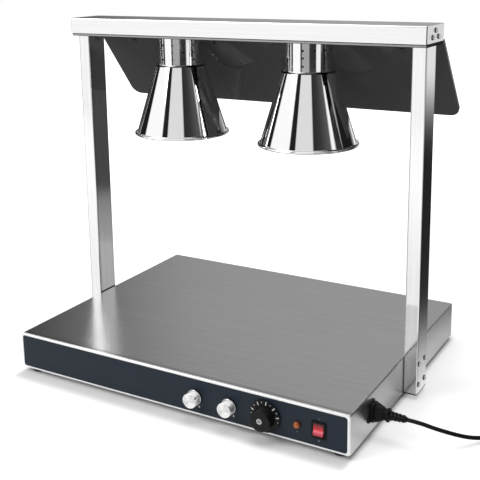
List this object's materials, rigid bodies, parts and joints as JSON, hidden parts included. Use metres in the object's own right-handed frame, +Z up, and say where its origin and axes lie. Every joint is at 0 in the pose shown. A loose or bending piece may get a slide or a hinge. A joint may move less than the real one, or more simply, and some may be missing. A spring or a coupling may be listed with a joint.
{
  "type": "buffet food warmer",
  "caption": "carving station with a warm steel plate, posts carrying a beam with dimmed heat lamps, and a sloped dark guard behind it",
  "frame": {"origin": "on the floor, midway across and midway from the dial's cap to the base's back", "axes": "X runs right along the front panel, Y from the panel to the guests' side, Z up"},
  "size_m": [0.8992, 0.4984, 0.594],
  "materials": {
    "steel": "fine brushed stainless",
    "polished": "mirror polished stainless",
    "panel": "satin dark navy overlay",
    "black_plastic": "moulded black",
    "zinc": "zinc plated",
    "feet_rubber": "black rubber",
    "mat_silicone": "silicone heating mat",
    "pad_wool": "mineral wool board",
    "copper": "copper",
    "amber": "clear amber",
    "red": "clear red",
    "white_plastic": "white",
    "wire": "insulated wire",
    "smoked": "dark smoked sheet",
    "bulb_glass": "reflector bulb",
    "cord_rubber": "black mains cord",
    "tie": "black hook and loop strap"
  },
  "bodies": {
    "warmer": {"base_cover": "steel", "front_panel": "steel", "front_overlay": "panel", "bottom_plate": "zinc", "feet": "feet_rubber", "underside_screws": "zinc", "heater_mat": "mat_silicone", "insulation_pad": "pad_wool", "heater_clamp": "zinc", "clamp_nuts": "zinc", "dimmer_left": "black_plastic", "dimmer_right": "black_plastic", "control_nuts": "zinc", "thermostat_body": "black_plastic", "thermostat_sensor": "copper", "pilot_body": "black_plastic", "pilot_lens": "amber", "switch_housing": "black_plastic", "mains_inlet": "black_plastic", "terminal_block": "white_plastic", "supply_wires": "wire", "lamp_cable": "wire", "post_left": "steel", "post_right": "steel", "post_plugs": "black_plastic", "nut_plates": "zinc", "post_screws": "polished", "post_top_screws": "zinc", "beam_cover": "steel", "beam_tray": "steel", "beam_end_cap_left": "steel", "beam_end_cap_right": "steel", "beam_end_brackets": "zinc", "beam_end_screws": "polished", "sneeze_guard": "smoked", "guard_rail": "steel", "guard_screws": "polished", "lamp_neck_left": "polished", "lamp_neck_right": "polished", "lamp_shade_left": "polished", "lamp_shade_right": "polished", "lampholder_left": "white_plastic", "lampholder_right": "white_plastic", "bulb_left": "bulb_glass", "bulb_right": "bulb_glass", "lamp_nipples": "zinc", "shade_rivets": "zinc", "cord_connector": "black_plastic", "power_cord": "cord_rubber", "cord_coil": "cord_rubber", "cord_tie": "tie", "mains_plug": "black_plastic"},
    "left_knob": {"lamp_knob_left": "polished", "dimmer_shaft_left": "zinc"},
    "right_knob": {"lamp_knob_right": "polished", "dimmer_shaft_right": "zinc"},
    "dial": {"thermostat_knob": "black_plastic", "thermostat_shaft": "zinc"},
    "rocker": {"switch_rocker": "red"}
  },
  "joints": [
    {"name": "lamp_left_dimmer", "type": "hinge", "parent": "warmer", "child": "left_knob", "pos_m": [0.049, -0.22925, 0.037], "axis": [0, 1, 0], "range_deg": [0, 270]},
    {"name": "lamp_right_dimmer", "type": "hinge", "parent": "warmer", "child": "right_knob", "pos_m": [0.11, -0.22925, 0.037], "axis": [0, 1, 0], "range_deg": [0, 270]},
    {"name": "plate_thermostat", "type": "hinge", "parent": "warmer", "child": "dial", "pos_m": [0.172, -0.22925, 0.037], "axis": [0, 1, 0], "range_deg": [0, 270]},
    {"name": "power_switch", "type": "hinge", "parent": "warmer", "child": "rocker", "pos_m": [0.258, -0.22625, 0.037], "axis": [1, 0, 0], "range_deg": [0, 20]}
  ]
}
